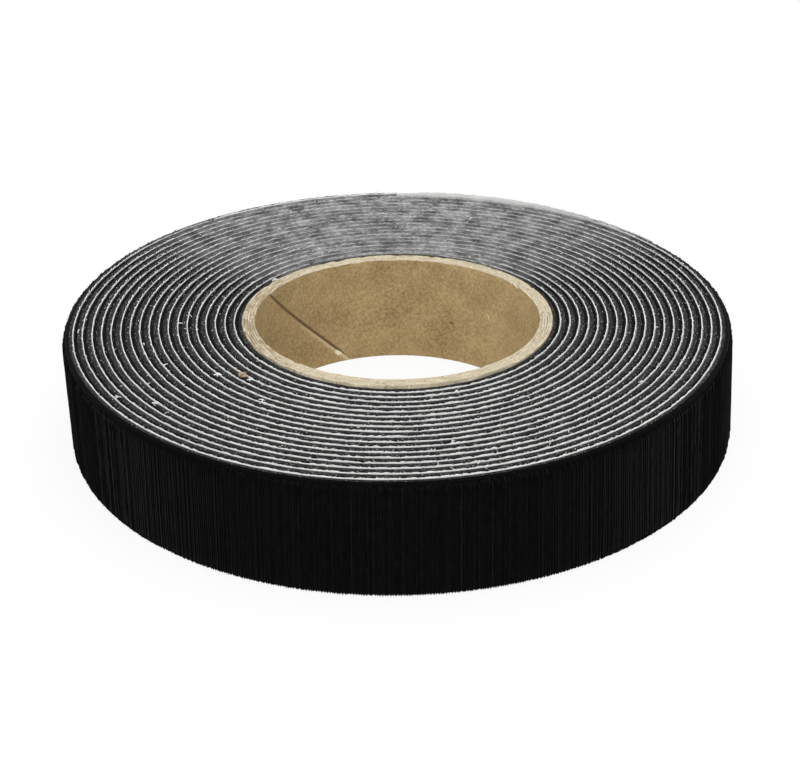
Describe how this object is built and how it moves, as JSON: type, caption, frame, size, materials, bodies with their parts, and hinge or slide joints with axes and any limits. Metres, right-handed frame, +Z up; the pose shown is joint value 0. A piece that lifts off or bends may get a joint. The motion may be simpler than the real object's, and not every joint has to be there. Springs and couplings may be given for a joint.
{
  "type": "hook and loop tape roll",
  "caption": "Flat roll of black self-adhesive loop tape with a white release liner on a spiral-wound cardboard core; the free end lifts off the roll and its tip peels off the liner.",
  "frame": {"origin": "on the core's axis, at the surface that the roll lies on", "axes": "+Z up along the core's axis, +Y towards the side where the tape's cut tip lies"},
  "size_m": [0.1188, 0.1188, 0.0204],
  "materials": {
    "core_board_face": "matt kraft board with visible fibres",
    "core_board": "matt cut board, pale and fibrous",
    "loop_fabric": "black knitted loop pile with fine ribs",
    "adhesive": "tacky, glossy clear film on the black fabric's back",
    "liner_paper": "smooth silicone-coated paper"
  },
  "bodies": {
    "roll": {"core_inner_ply": "core_board_face", "core_second_ply": "core_board", "core_third_ply": "core_board", "core_fourth_ply": "core_board", "core_outer_ply": "core_board_face", "loop_fabric": "loop_fabric", "adhesive_coat": "adhesive", "release_liner": "liner_paper"},
    "free_end": {"fabric_free_end": "loop_fabric", "adhesive_free_end": "adhesive", "liner_free_end": "liner_paper"},
    "peel_tip": {"fabric_tip": "loop_fabric", "adhesive_tip": "adhesive"}
  },
  "joints": [
    {"name": "end_lift", "type": "hinge", "parent": "roll", "child": "free_end", "pos_m": [-0.03705, 0.04645, 0.0102], "axis": [0, 0, 1], "range_deg": [0, 90], "stiffness_Nm_per_rad": 0.001},
    {"name": "tip_peel", "type": "hinge", "parent": "free_end", "child": "peel_tip", "pos_m": [-0.01962, 0.05608, 0.0102], "axis": [0, 0, 1], "range_deg": [0, 80], "stiffness_Nm_per_rad": 0.0005}
  ]
}
